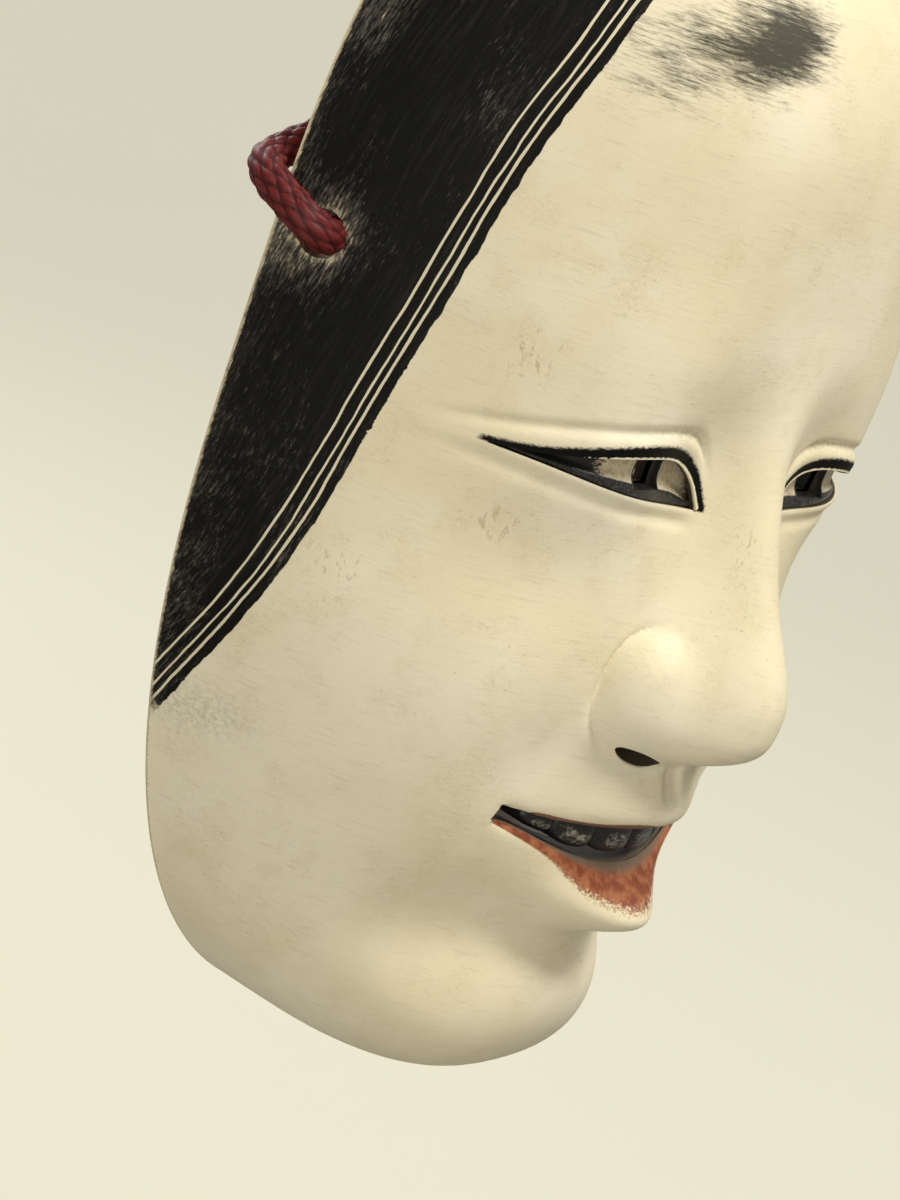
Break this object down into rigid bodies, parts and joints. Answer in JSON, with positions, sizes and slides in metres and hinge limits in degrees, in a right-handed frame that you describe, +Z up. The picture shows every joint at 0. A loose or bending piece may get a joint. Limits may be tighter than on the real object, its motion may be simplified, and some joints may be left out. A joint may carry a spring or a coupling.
{
  "type": "noh mask",
  "caption": "Carved wooden theatre mask of a young woman's face with a white gesso coat, painted hair and lips, side cord holes and a braided hanging cord.",
  "frame": {"origin": "the point where the hanging cord passes over its hook, on the plane of symmetry in the plane of the back rim, 30 mm below the crown", "axes": "+Z up along the height of the face, -Y out of the face towards the viewer, +Y towards the wall, +X to the viewer's right"},
  "size_m": [0.1484, 0.0754, 0.212],
  "materials": {
    "painted_gesso": "hand-painted ivory gesso, softly polished, with black hair, smudged brows and a vermilion lower lip",
    "cypress": "carved cypress, tool marks, darkened with age",
    "lacquer": "thin dark brown lacquer over carved wood",
    "red_silk": "tight round silk braid, soft sheen",
    "cotton": "undyed cotton pad, plain weave"
  },
  "bodies": {
    "root": {"face_coat": "painted_gesso", "wood_shell": "cypress", "lacquer_lining": "lacquer", "hanging_cord": "red_silk", "cord_knot_left": "red_silk", "cord_knot_right": "red_silk", "forehead_pad": "cotton", "cheek_pad_left": "cotton", "cheek_pad_right": "cotton"}
  },
  "joints": []
}
